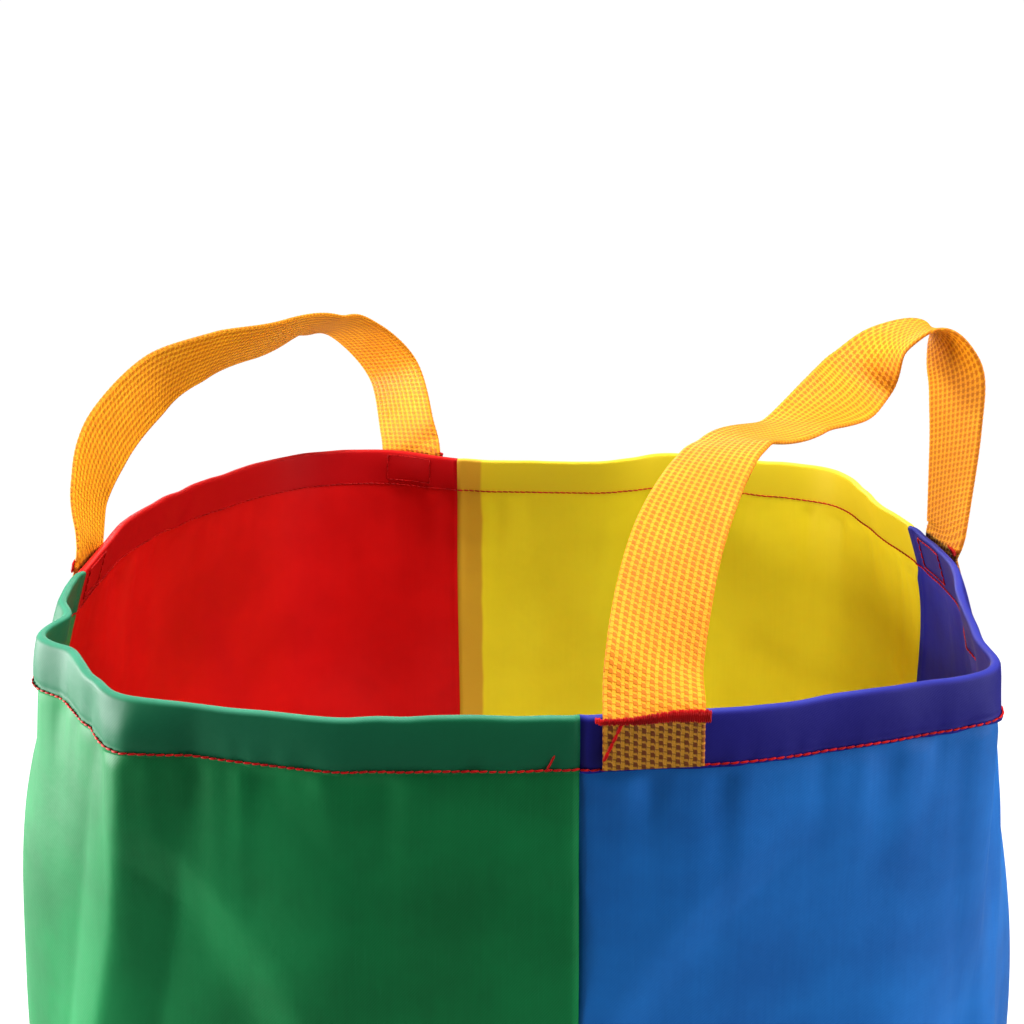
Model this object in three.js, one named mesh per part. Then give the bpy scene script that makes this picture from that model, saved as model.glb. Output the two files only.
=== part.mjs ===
// A child's sack race bag: a lined cloth tube of four coloured panels with a round bottom,
// a stitched hem round its mouth and two webbing handles sewn to the outside of the hem.
// Millimetres, +Z up. The origin is the centre of the bottom, on the floor.
// The front, which faces -Y, has the seam between the green and the blue panel.
import * as THREE from 'three';

// Driving dimensions
const BAG_HEIGHT = 600;
const PANEL_WIDTH = 236;
const CLOTH = 0.6;
const GAP = 0.3;
const HEM_DEPTH = 15.5;
const THREAD = 0.5;
const WEBBING_WIDTH = 25;
const WEBBING_THICKNESS = 1.5;
const FLARE_DEPTH = 150;
const HANDLE_SWING_DEG = 40;

// Worked out from them
const PANELS = ['blue', 'yellow', 'red', 'green'];
const GIRTH = PANELS.length * PANEL_WIDTH;
const BASE_RADIUS = GIRTH / (2 * Math.PI);
const BASE_THICKNESS = 2 * CLOTH + GAP;
const SHELL_IN = GAP / 2;
const SHELL_OUT = SHELL_IN + CLOTH;
const LINING_OUT = -GAP / 2;
const LINING_IN = LINING_OUT - CLOTH;
const HEM_IN = SHELL_OUT + 3 * GAP;
const HEM_OUT = HEM_IN + CLOTH;
const HEM_BOTTOM = BAG_HEIGHT - HEM_DEPTH;
const STITCH_HEIGHT = HEM_BOTTOM + 1.2;
const TAB_IN = HEM_OUT + 2 * GAP;
const TAB_OUT = TAB_IN + WEBBING_THICKNESS;
const TAB_BOTTOM = STITCH_HEIGHT + THREAD + GAP;
const TAB_TOP = BAG_HEIGHT - GAP;
const TAB_HEIGHT = TAB_TOP - TAB_BOTTOM;
const TAB_FROM_SEAM = 17;
const REAR_LEFT_TAB_FROM_SEAM = 22;

const COLOURS = {
  blue: { shell: 0x2f7ac4, lining: 0x2b2f86 },
  yellow: { shell: 0xe6cc22, lining: 0xd8c02a },
  red: { shell: 0xc81414, lining: 0xb40c10 },
  green: { shell: 0x187a44, lining: 0x1a5a40 },
  webbing: 0xf5a81c,
  thread: 0xa80c14,
};

// The mouth's outline as it stands open, seen from above. Each panel starts at its seam,
// going counter-clockwise from the middle of the front.
const MOUTH = {
  blue: [[13, -134], [44, -131], [69, -124], [96, -115], [123, -103], [126, -82], [130, -53], [138, -15]],
  yellow: [[136, 24], [132, 52], [125, 101], [99, 116], [68, 128], [34, 115]],
  red: [[-26, 121], [-62, 134], [-93, 129], [-118, 93], [-138, 40]],
  green: [[-139, -27], [-137, -55], [-134, -75], [-122, -93], [-104, -120], [-83, -128], [-57, -133], [-24, -135]],
};

// The fuller outline of the bag's body, below the flare.
const BODY = {
  blue: [[14, -134], [64, -128], [106, -116], [130, -101], [150, -74], [161, -34]],
  yellow: [[162, 20], [150, 62], [119, 98], [72, 123], [22, 133]],
  red: [[-27, 134], [-76, 125], [-117, 103], [-150, 66], [-164, 22]],
  green: [[-165, -25], [-156, -63], [-136, -93], [-111, -117], [-66, -129], [-26, -134]],
};

// The round bottom: the same seams on a circle, the first one just right of the front.
const BASE_START_DEG = -83;
const POINTS_PER_QUARTER = 6;

function baseOutline() {
  const outline = {};
  PANELS.forEach((name, panel) => {
    outline[name] = Array.from({ length: POINTS_PER_QUARTER }, (_, i) => {
      const angle = THREE.MathUtils.degToRad(BASE_START_DEG + 90 * (panel + i / POINTS_PER_QUARTER));
      return [BASE_RADIUS * Math.cos(angle), BASE_RADIUS * Math.sin(angle)];
    });
  });
  return outline;
}

// Turns an outline into a function of u: u = 0..4 goes once round the bag, one unit per panel,
// evenly along each panel's cloth.
const SAMPLES_PER_SPAN = 24;

function roundOutline(outline) {
  const points = PANELS.flatMap((name) => outline[name].map(([x, y]) => new THREE.Vector3(x, y, 0)));
  const curve = new THREE.CatmullRomCurve3(points, true, 'centripetal');
  const samples = curve.getPoints(points.length * SAMPLES_PER_SPAN);
  const panels = [];
  let first = 0;
  for (const name of PANELS) {
    const last = first + outline[name].length * SAMPLES_PER_SPAN;
    panels.push(evenly(samples.slice(first, last + 1)));
    first = last;
  }
  return (u) => {
    const turn = THREE.MathUtils.euclideanModulo(u, PANELS.length);
    const panel = Math.floor(turn);
    return panels[panel](turn - panel);
  };
}

function evenly(points) {
  const lengths = [0];
  for (let i = 1; i < points.length; i += 1) {
    lengths.push(lengths[i - 1] + points[i].distanceTo(points[i - 1]));
  }
  const total = lengths[lengths.length - 1];
  return (fraction) => {
    const wanted = fraction * total;
    let i = 1;
    while (i < points.length - 1 && lengths[i] < wanted) {
      i += 1;
    }
    const part = (wanted - lengths[i - 1]) / (lengths[i] - lengths[i - 1]);
    return points[i - 1].clone().lerp(points[i], part);
  };
}

const mouthAt = roundOutline(MOUTH);
const bodyAt = roundOutline(BODY);
const baseAt = roundOutline(baseOutline());

// The wall's middle surface: the mouth's outline flares to the body's just below the rim,
// and the body's outline comes in to the round bottom.
function middleOfWall(u, height) {
  const drop = THREE.MathUtils.clamp((BAG_HEIGHT - height) / FLARE_DEPTH, 0, 1);
  const flare = 1 - (1 - drop) ** 2;
  const rise = THREE.MathUtils.smoothstep(height, 0, 0.7 * BAG_HEIGHT);
  const upper = mouthAt(u).lerp(bodyAt(u), flare);
  return baseAt(u).lerp(upper, rise);
}

// A point of the wall: distance round the girth, height and offset outwards.
function onWall(distance, height, offset) {
  const step = 2 / PANEL_WIDTH;
  const u = distance / PANEL_WIDTH;
  const tangent = middleOfWall(u + step, height).sub(middleOfWall(u - step, height)).normalize();
  const point = middleOfWall(u, height);
  point.x += tangent.y * offset;
  point.y -= tangent.x * offset;
  point.z = height;
  return point;
}

// Bends a flat geometry onto the wall: its x is distance, y is height and z is offset.
function bendOntoWall(geometry) {
  const position = geometry.attributes.position;
  for (let i = 0; i < position.count; i += 1) {
    const point = onWall(position.getX(i), position.getY(i), position.getZ(i));
    position.setXYZ(i, point.x, point.y, point.z);
  }
  return geometry;
}

function cloth(colour) {
  return new THREE.MeshStandardMaterial({ color: colour, roughness: 0.55, metalness: 0 });
}

function webbing() {
  return new THREE.MeshStandardMaterial({ color: COLOURS.webbing, roughness: 0.7, metalness: 0 });
}

function thread() {
  return new THREE.MeshStandardMaterial({ color: COLOURS.thread, roughness: 0.6, metalness: 0 });
}

function named(name, geometry, material) {
  const mesh = new THREE.Mesh(geometry, material);
  mesh.name = name;
  return mesh;
}

// Cloth panels. A panel is a sheet one panel wide whose two faces are rows of
// [offset, height] points, from its foot up.
const PANEL_STEPS = 16;
const WALL_LEVELS = [0.1, 0.22, 0.36, 0.5, 0.62, 0.74, 0.82, 0.9, 0.95];
const BACK_FACE = 5;

function panelOfCloth(innerFace, outerFace, panel) {
  const rows = innerFace.length - 1;
  const geometry = new THREE.BoxGeometry(PANEL_WIDTH - GAP, rows, 1, PANEL_STEPS, rows, 1);
  geometry.translate((panel + 0.5) * PANEL_WIDTH, rows / 2, 0);
  splitQuadsAlike(geometry);
  const position = geometry.attributes.position;
  for (let i = 0; i < position.count; i += 1) {
    const face = position.getZ(i) < 0 ? innerFace : outerFace;
    const [offset, height] = face[Math.round(position.getY(i))];
    position.setXYZ(i, position.getX(i), height, offset);
  }
  return bendOntoWall(geometry);
}

// A box's back quads are split along the other diagonal from its front ones. Splitting them
// alike lets the layers of cloth bend along the same lines and keep their gap.
function splitQuadsAlike(geometry) {
  const back = geometry.groups[BACK_FACE];
  for (let i = back.start; i < back.start + back.count; i += 6) {
    geometry.index.setX(i + 2, geometry.index.getX(i + 4));
    geometry.index.setX(i + 3, geometry.index.getX(i));
  }
}

function wallSide(offset, bottom) {
  const levels = WALL_LEVELS.map((level) => [offset, level * BAG_HEIGHT]);
  return [[offset, bottom], ...levels, [offset, HEM_BOTTOM]];
}

function shellPanel(name, panel) {
  const foot = CLOTH + GAP;
  const top = BAG_HEIGHT - CLOTH - GAP;
  const innerFace = [...wallSide(SHELL_IN, foot), [SHELL_IN, top]];
  const outerFace = [...wallSide(SHELL_OUT, foot), [SHELL_OUT, top]];
  return named(`shell_${name}`, panelOfCloth(innerFace, outerFace, panel), cloth(COLOURS[name].shell));
}

// The lining is turned out over the shell's top edge, and its turned part is the hem.
function liningPanel(name, panel) {
  const foot = BASE_THICKNESS + GAP;
  const fold = BAG_HEIGHT - CLOTH;
  const innerFace = [
    ...wallSide(LINING_IN, foot),
    [LINING_IN, BAG_HEIGHT],
    [HEM_OUT, BAG_HEIGHT],
    [HEM_OUT, HEM_BOTTOM],
  ];
  const outerFace = [
    ...wallSide(LINING_OUT, foot),
    [LINING_OUT, fold],
    [HEM_IN, fold],
    [HEM_IN, HEM_BOTTOM],
  ];
  return named(`lining_${name}`, panelOfCloth(innerFace, outerFace, panel), cloth(COLOURS[name].lining));
}

// The bottom's two discs lie on each other, inside the foot of the walls.
const DISC_SIDES = 64;

function bottomDisc(name, radius, low, colour) {
  const geometry = new THREE.CylinderGeometry(radius, radius, CLOTH, DISC_SIDES);
  geometry.rotateX(Math.PI / 2);
  geometry.translate(0, 0, low + CLOTH / 2);
  return named(name, geometry, cloth(colour));
}

function bottom() {
  const group = new THREE.Group();
  group.add(bottomDisc('base_shell', BASE_RADIUS + SHELL_OUT, 0, COLOURS.blue.shell));
  group.add(bottomDisc('base_lining', BASE_RADIUS + SHELL_IN - 2 * GAP, CLOTH + GAP, COLOURS.blue.lining));
  return group;
}

// One row of stitches holds the hem: a thread outside it and a thread inside the lining.
const THREAD_STEPS = PANELS.length * PANEL_STEPS;

function hemThread(name, offset) {
  const geometry = new THREE.BoxGeometry(GIRTH - 2 * GAP, THREAD, THREAD, THREAD_STEPS, 1, 1);
  geometry.translate(GIRTH / 2, STITCH_HEIGHT + THREAD / 2, offset);
  return named(name, bendOntoWall(geometry), thread());
}

// A handle's end lies flat on the hem and is held by a bar tack at the rim, a slanted row of
// stitches on the webbing and a four-sided row of stitches that shows on the lining.
const TACK_OVERHANG = 0.5;
const TACK_HEIGHT = 2;
const TAB_STEPS = 4;
const SLANT_RUN = 4;
const LINING_STITCH_LONG = 20;
const LINING_STITCH_TALL = 11;

function handleTab(name, middle) {
  const geometry = new THREE.BoxGeometry(WEBBING_WIDTH, TAB_HEIGHT, WEBBING_THICKNESS, TAB_STEPS, 1, 1);
  geometry.translate(middle, TAB_BOTTOM + TAB_HEIGHT / 2, (TAB_IN + TAB_OUT) / 2);
  return named(`${name}_tab`, bendOntoWall(geometry), webbing());
}

function barTack(name, middle) {
  const width = WEBBING_WIDTH + 2 * TACK_OVERHANG;
  const geometry = new THREE.BoxGeometry(width, TACK_HEIGHT, THREAD, TAB_STEPS, 1, 1);
  geometry.translate(middle, TAB_TOP - TACK_HEIGHT, TAB_OUT + GAP + THREAD / 2);
  return named(`${name}_bar_tack`, bendOntoWall(geometry), thread());
}

function slantedStitch(name, middle) {
  const low = TAB_BOTTOM + THREAD;
  const high = TAB_TOP - 2 * TACK_HEIGHT;
  const run = Math.hypot(SLANT_RUN, high - low);
  const geometry = new THREE.BoxGeometry(THREAD, run, THREAD);
  geometry.rotateZ(-Math.atan2(SLANT_RUN, high - low));
  const across = middle - WEBBING_WIDTH / 2 + SLANT_RUN;
  geometry.translate(across, (low + high) / 2, TAB_OUT + GAP + THREAD / 2);
  return named(`${name}_slanted_stitch`, bendOntoWall(geometry), thread());
}

function liningStitch(name, middle) {
  const frame = rectangle(LINING_STITCH_LONG, LINING_STITCH_TALL);
  frame.holes.push(rectangle(LINING_STITCH_LONG - 2 * THREAD, LINING_STITCH_TALL - 2 * THREAD));
  const geometry = new THREE.ExtrudeGeometry(frame, { depth: THREAD, bevelEnabled: false });
  const height = (STITCH_HEIGHT + THREAD + BAG_HEIGHT) / 2;
  geometry.translate(middle, height, LINING_IN - 2 * GAP - THREAD);
  return named(`${name}_lining_stitch`, bendOntoWall(geometry), thread());
}

function rectangle(width, height) {
  const shape = new THREE.Shape();
  shape.moveTo(-width / 2, -height / 2);
  shape.lineTo(width / 2, -height / 2);
  shape.lineTo(width / 2, height / 2);
  shape.lineTo(-width / 2, height / 2);
  shape.closePath();
  return shape;
}

function handleEnd(name, middle) {
  const group = new THREE.Group();
  group.add(handleTab(name, middle));
  group.add(barTack(name, middle));
  group.add(slantedStitch(name, middle));
  group.add(liningStitch(name, middle));
  return group;
}

// Handle loops. Each route is the middle of the webbing from its first sewn end to its second,
// as [x, y, height above the rim, turn of the webbing's width about the route in degrees].
const RIGHT_ROUTE = [
  [31, -136, 0, 84],
  [32, -123, 9, 92],
  [40, -93, 30, 60],
  [53, -63, 44, 24],
  [62, -47, 47, -5],
  [84, -22, 46, -2],
  [103, 0, 51, 46],
  [112, 12, 56, 54],
  [122, 14, 67, 14],
  [135, 11, 71, -4],
  [142, 9, 59, -30],
  [144, 9, 41, -24],
  [144, 8, 17, -16],
  [143, 5, 0, -10],
];
const LEFT_ROUTE = [
  [-142, -9, 0, 6],
  [-144, 2, 18, -10],
  [-141, 16, 32, -36],
  [-129, 43, 47, -51],
  [-114, 63, 53, -44],
  [-98, 86, 55, -37],
  [-81, 117, 56, -28],
  [-70, 139, 51, -51],
  [-55, 151, 32, -68],
  [-48, 137, 8, -75],
  [-46, 132, 0, -88],
];
const LOOP_STEPS = 44;
const LOOP_COLUMNS = 2;
const SWING_MARGIN_DEG = 15;

// A loop ends in a blunt point just above its tab, so that it clears the tab as it swings.
function pointedEnd(across, endWidthDirection, axis) {
  const fromAxis = across * (endWidthDirection.x * axis.y - endWidthDirection.y * axis.x);
  const clearance = 2 * GAP + WEBBING_THICKNESS;
  return clearance + Math.abs(fromAxis) * Math.tan(THREE.MathUtils.degToRad(HANDLE_SWING_DEG + SWING_MARGIN_DEG));
}

function handleLoop(name, route, widthReference) {
  const last = route.length - 1;
  const points = route.map(([x, y, height]) => new THREE.Vector3(x, y, BAG_HEIGHT + height));
  const curve = new THREE.CatmullRomCurve3(points, false, 'centripetal');
  const turns = new THREE.CatmullRomCurve3(route.map((row, i) => new THREE.Vector3(i, row[3], 0)));
  const length = curve.getLength();
  const axis = points[last].clone().sub(points[0]).setZ(0).normalize();

  function frameAt(along) {
    const u = THREE.MathUtils.clamp(along / length, 0, 1);
    const tangent = curve.getTangentAt(u);
    const flat = widthReference.clone().addScaledVector(tangent, -widthReference.dot(tangent)).normalize();
    const turn = THREE.MathUtils.degToRad(turns.getPoint(curve.getUtoTmapping(u)).y);
    const width = flat.applyAxisAngle(tangent, turn);
    return { point: curve.getPointAt(u), width, normal: tangent.clone().cross(width) };
  }

  const firstWidth = frameAt(0).width;
  const lastWidth = frameAt(length).width;
  const geometry = new THREE.BoxGeometry(WEBBING_WIDTH, WEBBING_THICKNESS, 1, LOOP_COLUMNS, 1, LOOP_STEPS);
  const position = geometry.attributes.position;
  for (let i = 0; i < position.count; i += 1) {
    const across = position.getX(i);
    const start = pointedEnd(across, firstWidth, axis);
    const end = length - pointedEnd(across, lastWidth, axis);
    const frame = frameAt(THREE.MathUtils.lerp(start, end, position.getZ(i) + 0.5));
    const point = frame.point;
    point.addScaledVector(frame.width, across);
    point.addScaledVector(frame.normal, position.getY(i));
    position.setXYZ(i, point.x, point.y, point.z);
  }
  return named(name, geometry, webbing());
}

function assemble() {
  const bag = new THREE.Group();
  PANELS.forEach((name, panel) => {
    bag.add(shellPanel(name, panel));
    bag.add(liningPanel(name, panel));
  });
  bag.add(bottom());
  bag.add(hemThread('hem_thread_outside', HEM_OUT + 2 * GAP + THREAD / 2));
  bag.add(hemThread('hem_thread_inside', LINING_IN - 2 * GAP - THREAD / 2));

  const blueStart = PANELS.indexOf('blue') * PANEL_WIDTH;
  const redStart = PANELS.indexOf('red') * PANEL_WIDTH;
  bag.add(handleEnd('right_handle_front', blueStart + TAB_FROM_SEAM));
  bag.add(handleEnd('right_handle_rear', blueStart + PANEL_WIDTH - TAB_FROM_SEAM));
  bag.add(handleEnd('left_handle_rear', redStart + REAR_LEFT_TAB_FROM_SEAM));
  bag.add(handleEnd('left_handle_front', redStart + PANEL_WIDTH - TAB_FROM_SEAM));
  bag.add(handleLoop('right_handle_loop', RIGHT_ROUTE, new THREE.Vector3(0, -1, 0)));
  bag.add(handleLoop('left_handle_loop', LEFT_ROUTE, new THREE.Vector3(0, 1, 0)));
  return bag;
}

const sackRaceBag = assemble();

export default sackRaceBag;
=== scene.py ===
"""Looks of a child's sack race bag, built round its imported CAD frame. Metres, +Z up.

The cloth is a wall of four coloured panels. A place on it is given by s, the distance round
the girth from the front seam, z, the height, and an offset outwards.
"""

import math

import bpy
import numpy as np
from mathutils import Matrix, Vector


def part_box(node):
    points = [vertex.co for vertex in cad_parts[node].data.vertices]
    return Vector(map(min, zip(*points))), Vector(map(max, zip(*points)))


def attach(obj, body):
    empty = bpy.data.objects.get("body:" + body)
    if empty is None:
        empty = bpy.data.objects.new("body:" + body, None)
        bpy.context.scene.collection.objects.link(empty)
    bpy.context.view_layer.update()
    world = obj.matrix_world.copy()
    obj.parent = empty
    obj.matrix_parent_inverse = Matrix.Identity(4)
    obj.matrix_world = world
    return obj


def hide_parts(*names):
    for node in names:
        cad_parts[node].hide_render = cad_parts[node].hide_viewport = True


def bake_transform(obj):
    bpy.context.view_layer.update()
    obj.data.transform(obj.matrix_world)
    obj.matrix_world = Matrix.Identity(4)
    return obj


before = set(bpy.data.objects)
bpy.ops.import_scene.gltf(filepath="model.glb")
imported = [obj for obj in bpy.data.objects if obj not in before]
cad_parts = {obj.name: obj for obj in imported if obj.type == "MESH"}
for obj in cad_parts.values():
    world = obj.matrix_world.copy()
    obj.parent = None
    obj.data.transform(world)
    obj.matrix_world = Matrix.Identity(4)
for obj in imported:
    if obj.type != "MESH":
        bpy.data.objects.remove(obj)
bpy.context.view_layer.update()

MM = 0.001
PANELS = ["blue", "yellow", "red", "green"]
HANDLES = ["right_handle", "left_handle"]


# ---------------------------------------------------------------- sizes from the frame


def height_range(node):
    low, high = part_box(node)
    return low.z, high.z


RIM = height_range("lining_blue")[1]
STITCH_Z = sum(height_range("hem_thread_outside")) / 2
BASE_RADIUS = (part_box("base_lining")[1].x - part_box("base_lining")[0].x) / 2
TAB_LOW, TAB_HIGH = height_range("right_handle_front_tab")
HEM_LOW = STITCH_Z - 0.75 * MM
PANEL = 236 * MM
GIRTH = PANEL * len(PANELS)

CLOTH = 0.28 * MM
SHELL_OFFSET = 0.45 * MM
LINING_OFFSET = -0.45 * MM
HEM_OFFSET = 1.95 * MM
THREAD = 0.3 * MM
WEBBING_WIDTH = 25 * MM
WEBBING_THICKNESS = 1.4 * MM
WEBBING_OFFSET = 3.6 * MM
STITCH_LENGTH = 2.36 * MM


# ---------------------------------------------------------------- the wall of cloth

# Plan outlines in millimetres, as points of a smooth curve: at the rim, and FLARE_DEPTH below it.
MOUTH = {
    "blue": [
        (13, -134), (44, -131), (69, -124), (96, -115),
        (123, -103), (126, -82), (130, -53), (138, -15),
    ],
    "yellow": [(136, 24), (132, 52), (125, 101), (99, 116), (68, 128), (34, 115)],
    "red": [(-26, 121), (-62, 134), (-93, 129), (-118, 93), (-138, 40)],
    "green": [
        (-139, -27), (-137, -55), (-134, -75), (-122, -93),
        (-104, -120), (-83, -128), (-57, -133), (-24, -135),
    ],
}
BODY = {
    "blue": [(14, -134), (64, -128), (106, -116), (130, -101), (150, -74), (161, -34)],
    "yellow": [(162, 20), (150, 62), (119, 98), (72, 123), (22, 133)],
    "red": [(-27, 134), (-76, 125), (-117, 103), (-150, 66), (-164, 22)],
    "green": [(-165, -25), (-156, -63), (-136, -93), (-111, -117), (-66, -129), (-26, -134)],
}
BASE_START_DEG = -83
POINTS_PER_QUARTER = 6
SAMPLES_PER_SPAN = 48
FLARE_DEPTH = 150 * MM


def catmull_rom(points, closed, samples):
    """A centripetal Catmull-Rom curve through points, with samples steps in each span."""
    points = np.asarray(points, float)
    if closed:
        padded = np.vstack([points[-1], points, points[:2]])
    else:
        before = 2 * points[0] - points[1]
        after = 2 * points[-1] - points[-2]
        padded = np.vstack([before, points, after])
    t = np.linspace(0, 1, samples, endpoint=False)[:, None]
    spans = []
    for p0, p1, p2, p3 in zip(padded, padded[1:], padded[2:], padded[3:]):
        d0 = np.linalg.norm(p1 - p0) ** 0.5
        d1 = np.linalg.norm(p2 - p1) ** 0.5
        d2 = np.linalg.norm(p3 - p2) ** 0.5
        m1 = ((p1 - p0) / d0 - (p2 - p0) / (d0 + d1) + (p2 - p1) / d1) * d1
        m2 = ((p2 - p1) / d1 - (p3 - p1) / (d1 + d2) + (p3 - p2) / d2) * d1
        cubic = 2 * p1 - 2 * p2 + m1 + m2
        square = -3 * p1 + 3 * p2 - 2 * m1 - m2
        spans.append(p1 + m1 * t + square * t**2 + cubic * t**3)
    spans.append(padded[-2][None, :])
    return np.vstack(spans)


def lengths_along(points):
    steps = np.linalg.norm(np.diff(points, axis=0), axis=1)
    return np.concatenate([[0], np.cumsum(steps)])


def base_outline():
    outline = {}
    for panel, name in enumerate(PANELS):
        turns = BASE_START_DEG + 90 * (panel + np.arange(POINTS_PER_QUARTER) / POINTS_PER_QUARTER)
        radius = GIRTH / (2 * math.pi) / MM
        outline[name] = [(radius * math.cos(a), radius * math.sin(a)) for a in np.radians(turns)]
    return outline


def round_outline(outline):
    """The outline as (u, x, y), where u goes from 0 to 4, one unit a panel and even along its cloth."""
    points = [p for name in PANELS for p in outline[name]]
    curve = catmull_rom(points, True, SAMPLES_PER_SPAN) * MM
    u = []
    first = 0
    for panel, name in enumerate(PANELS):
        last = first + len(outline[name]) * SAMPLES_PER_SPAN
        along = lengths_along(curve[first:last + 1])
        u.append(panel + along[:-1] / along[-1])
        first = last
    u.append([len(PANELS)])
    return np.concatenate(u), curve[:, 0], curve[:, 1]


OUTLINES = [round_outline(shape) for shape in (MOUTH, BODY, base_outline())]


def outline_at(outline, u):
    table_u, xs, ys = outline
    turn = np.mod(u, len(PANELS))
    return np.stack([np.interp(turn, table_u, xs), np.interp(turn, table_u, ys)], -1)


def smoothstep(low, high, x):
    t = np.clip((x - low) / (high - low), 0, 1)
    return t * t * (3 - 2 * t)


def middle_of_wall(s, z):
    u = s / PANEL
    mouth, body, base = (outline_at(outline, u) for outline in OUTLINES)
    drop = np.clip((RIM - z) / FLARE_DEPTH, 0, 1)
    flare = (1 - (1 - drop) ** 2)[..., None]
    rise = smoothstep(0, 0.7 * RIM, z)[..., None]
    upper = mouth * (1 - flare) + body * flare
    return base * (1 - rise) + upper * rise


# ---------------------------------------------------------------- folds, creases and puckers

def smooth_noise(x, y, seed):
    """Noise from -1 to 1 in a plane, one feature a unit."""
    x = np.asarray(x, float)
    y = np.asarray(y, float)
    x0 = np.floor(x)
    y0 = np.floor(y)
    fx = smoothstep(0, 1, x - x0)
    fy = smoothstep(0, 1, y - y0)

    def corner(i, j):
        mixed = np.sin((x0 + i) * 127.1 + (y0 + j) * 311.7 + seed * 74.7) * 43758.5453
        return 2 * (mixed - np.floor(mixed)) - 1

    low = corner(0, 0) * (1 - fx) + corner(1, 0) * fx
    high = corner(0, 1) * (1 - fx) + corner(1, 1) * fx
    return low * (1 - fy) + high * fy


def apart(s, place):
    """Signed distance round the girth from a place, the shorter way."""
    return np.mod(s - place + GIRTH / 2, GIRTH) - GIRTH / 2


def ridge(distance, width):
    """A pressed crease: straight sides up to a small round top, with a shallow dip round it."""
    x = np.abs(distance) / width
    return np.maximum(0, 1 - np.sqrt(x * x + 0.004)) - 0.4 * np.exp(-((x / 1.5) ** 2))


# Pressed, nearly vertical creases: place, slant over the bag's height, width, depth, top. Millimetres.
CREASES = [
    (112, 58, 13, 3.2, 594),
    (146, -85, 14, 3.8, 598),
    (-119, -92, 18, 5.0, 604),
    (-60, -14, 26, 0.9, 560),
    (60, 16, 30, 0.9, 545),
    (300, 10, 24, 1.3, 590),
    (372, -14, 22, 1.5, 580),
    (436, 9, 26, 1.1, 590),
    (548, -10, 24, 1.3, 585),
    (618, 12, 22, 1.4, 590),
    (186, 12, 24, 1.2, 580),
    (-184, -12, 24, 1.3, 570),
]
# Curved creases of the standing cloth: start s and z, end s and z, bow, width, depth. Millimetres.
DIAGONALS = [
    (592, 560, 574, 505, 6, 9, 1.3),
    (640, 520, 585, 470, 12, 15, 1.6),
    (520, 560, 560, 500, -10, 14, 1.4),
    (496, 470, 560, 430, 9, 18, 2.0),
    (350, 520, 300, 512, 3, 8, 1.0),
    (392, 572, 398, 470, 3, 7, 1.0),
    (430, 540, 470, 470, -9, 16, 1.3),
    (262, 560, 300, 505, 8, 14, 1.3),
    (150, 520, 95, 440, 12, 18, 1.4),
    (0, 500, 44, 562, 4, 12, 2.4),
    (12, 460, 84, 400, -14, 26, 2.0),
    (20, 400, 100, 330, 12, 30, 2.4),
    (-112, 560, -70, 498, 6, 14, 2.6),
    (-18, 470, -92, 390, 14, 28, 2.2),
    (-10, 330, -100, 250, -14, 30, 2.2),
    (-140, 500, -190, 420, 8, 20, 1.6),
    (210, 440, 150, 350, 10, 26, 2.0),
    (330, 400, 420, 330, -12, 28, 2.0),
    (520, 360, 610, 290, 12, 28, 2.0),
    (700, 430, 640, 340, -10, 26, 1.8),
    (120, 240, 30, 150, 12, 30, 2.2),
    (-150, 250, -60, 160, -12, 30, 2.2),
    (420, 220, 520, 130, 12, 30, 2.2),
    (660, 200, 580, 120, 10, 28, 2.0),
]


def pressed_creases(s, z):
    depth = np.zeros_like(s)
    for place, slant, width, amount, top in CREASES:
        line = (place + slant * (RIM - z) / RIM) * MM
        wander = 1.5 * MM * smooth_noise(z / (90 * MM), place, 3)
        fade = smoothstep(0, 14 * MM, top * MM - z) * smoothstep(0, 90 * MM, z)
        depth += amount * MM * fade * ridge(apart(s, line + wander), width * MM)
    return depth


def diagonal_creases(s, z):
    depth = np.zeros_like(s)
    for s0, z0, s1, z1, bow, width, amount in DIAGONALS:
        along = np.array([s1 - s0, z1 - z0]) * MM
        length = np.linalg.norm(along)
        along = along / length
        from_start = apart(s, s0 * MM)
        t = (from_start * along[0] + (z - z0 * MM) * along[1]) / length
        off = from_start * -along[1] + (z - z0 * MM) * along[0] - bow * MM * 4 * t * (1 - t)
        ends = smoothstep(-0.25, 0.2, t) * smoothstep(1.25, 0.8, t)
        one_sided = np.where(off > 0, ridge(off, 2.4 * width * MM), ridge(off, width * MM))
        depth += amount * MM * ends * one_sided
    return depth


def broad_folds(s, z):
    """Soft rolls of the cloth as it stands, and a tuck at the rear right, fading to the rim and foot."""
    lean = s + 0.35 * (RIM - z)
    turns = 2 * math.pi / GIRTH
    rolls = 1.7 * np.sin(5 * turns * lean + 0.8) + 1.1 * np.sin(11 * turns * (s - 0.2 * z) + 2.1)
    rolls += 2.2 * smooth_noise(s / (70 * MM), z / (110 * MM), 5)
    rolls += 1.0 * smooth_noise(s / (29.5 * MM), z / (60 * MM), 9) - 1.6
    tuck = np.exp(-((apart(s, 240 * MM) / (26 * MM)) ** 2))
    rolls -= 9.0 * tuck * smoothstep(380 * MM, 540 * MM, z)
    fade = smoothstep(0, 70 * MM, RIM - z - 12 * MM) * smoothstep(0, 80 * MM, z)
    return rolls * MM * fade


def hem_puckers(s, z):
    """Short gathers just under the row of stitches that holds the hem."""
    below = STITCH_Z - z
    steps = s / (8.6 * MM)
    gathers = smooth_noise(steps, 0, 11) + 0.6 * smooth_noise(s / (4.3 * MM), 0, 12)
    deep = 0.5 + 0.5 * smooth_noise(s / (31 * MM), 0, 13)
    reach = (16 + 12 * smooth_noise(s / (12 * MM), 2, 14)) * MM
    under = np.exp(-np.maximum(below, 0) / reach) * smoothstep(1 * MM, 6 * MM, below)
    return 2.2 * MM * gathers * deep * under


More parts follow.
